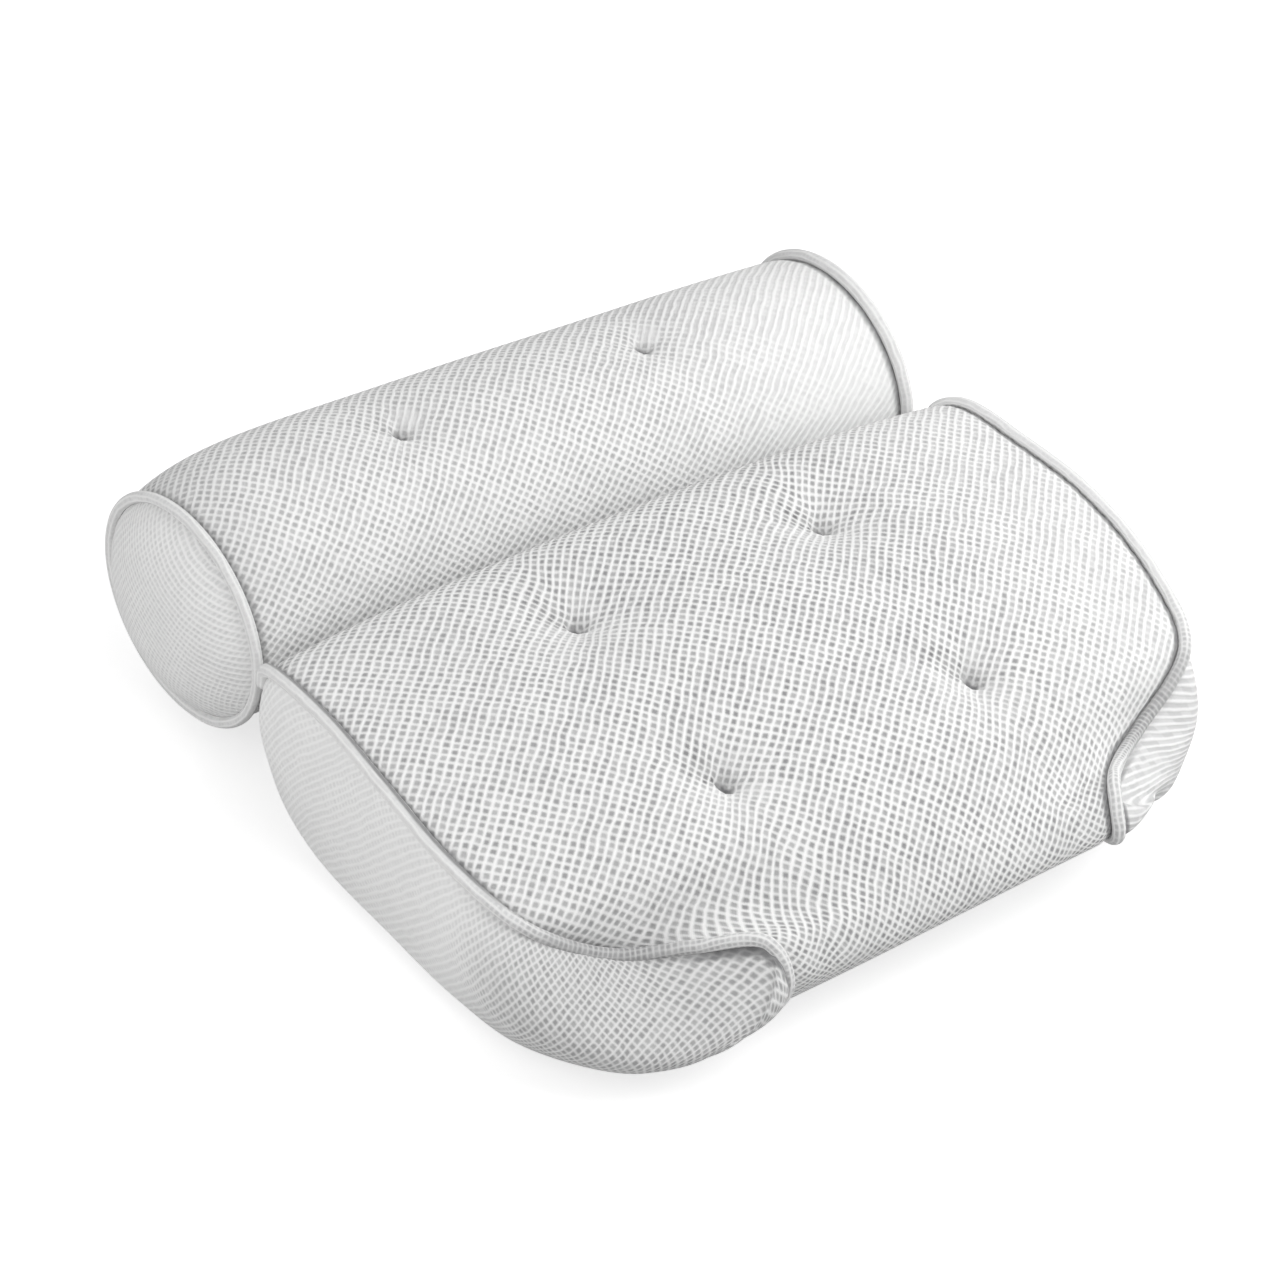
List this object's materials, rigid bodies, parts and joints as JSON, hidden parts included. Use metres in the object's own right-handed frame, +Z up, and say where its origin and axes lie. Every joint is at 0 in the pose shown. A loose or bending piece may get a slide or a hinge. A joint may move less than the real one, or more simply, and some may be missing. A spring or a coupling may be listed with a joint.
{
  "type": "bath pillow",
  "caption": "Bath pillow with a folding neck roll, a boxed and tufted body cushion of open mesh with corded seams, and suction cups below that grip the tub.",
  "frame": {"origin": "on the floor under the middle of the whole pillow", "axes": "+X across the pillow, +Y towards the neck roll, +Z up from the suction cups"},
  "size_m": [0.388, 0.3896, 0.1156],
  "materials": {
    "white_mesh": "matte open spacer mesh with staggered holes",
    "rib_mesh": "matte mesh with fine close ribs",
    "binding": "matte mesh strip over a cord",
    "wadding": "matte loose fibre",
    "clear_vinyl": "clear soft vinyl, glossy",
    "washer": "satin",
    "thread": "twisted thread"
  },
  "bodies": {
    "body_cushion": {"body_face_panel": "white_mesh", "body_back_panel": "white_mesh", "body_gusset_right": "rib_mesh", "body_gusset_left": "rib_mesh", "body_piping_right": "binding", "body_piping_left": "binding", "body_fill": "wadding", "fold_seam": "binding", "cup_washer_back_left": "washer", "cup_washer_back_right": "washer", "cup_washer_front_left": "washer", "cup_washer_front_right": "washer", "tuft_tie_back_left": "thread", "tuft_tie_back_right": "thread", "tuft_tie_front_left": "thread", "tuft_tie_front_right": "thread"},
    "neck_roll": {"roll_wrap_panel": "white_mesh", "roll_end_panel_right": "rib_mesh", "roll_end_panel_left": "rib_mesh", "roll_piping_right": "binding", "roll_piping_left": "binding", "roll_fill": "wadding", "cup_washer_roll_left": "washer", "cup_washer_roll_right": "washer", "tuft_tie_roll_left": "thread", "tuft_tie_roll_right": "thread"},
    "cup_roll_left": {"suction_cup_roll_left": "clear_vinyl"},
    "cup_roll_right": {"suction_cup_roll_right": "clear_vinyl"},
    "cup_back_left": {"suction_cup_back_left": "clear_vinyl"},
    "cup_back_right": {"suction_cup_back_right": "clear_vinyl"},
    "cup_front_left": {"suction_cup_front_left": "clear_vinyl"},
    "cup_front_right": {"suction_cup_front_right": "clear_vinyl"}
  },
  "joints": [
    {"name": "roll_fold", "type": "hinge", "parent": "body_cushion", "child": "neck_roll", "pos_m": [0, 0.06852, 0.056], "axis": [1, 0, 0], "range_deg": [-60, 28]},
    {"name": "cup_turn_roll_left", "type": "hinge", "parent": "neck_roll", "child": "cup_roll_left", "pos_m": [-0.066, 0.13151, 0.012], "axis": [0, 0, 1], "continuous": true},
    {"name": "cup_turn_roll_right", "type": "hinge", "parent": "neck_roll", "child": "cup_roll_right", "pos_m": [0.066, 0.13151, 0.012], "axis": [0, 0, 1], "continuous": true},
    {"name": "cup_turn_back_left", "type": "hinge", "parent": "body_cushion", "child": "cup_back_left", "pos_m": [-0.066, 0.00052, 0.012], "axis": [0, 0, 1], "continuous": true},
    {"name": "cup_turn_back_right", "type": "hinge", "parent": "body_cushion", "child": "cup_back_right", "pos_m": [0.066, 0.00052, 0.012], "axis": [0, 0, 1], "continuous": true},
    {"name": "cup_turn_front_left", "type": "hinge", "parent": "body_cushion", "child": "cup_front_left", "pos_m": [-0.066, -0.10448, 0.012], "axis": [0, 0, 1], "continuous": true},
    {"name": "cup_turn_front_right", "type": "hinge", "parent": "body_cushion", "child": "cup_front_right", "pos_m": [0.066, -0.10448, 0.012], "axis": [0, 0, 1], "continuous": true}
  ]
}
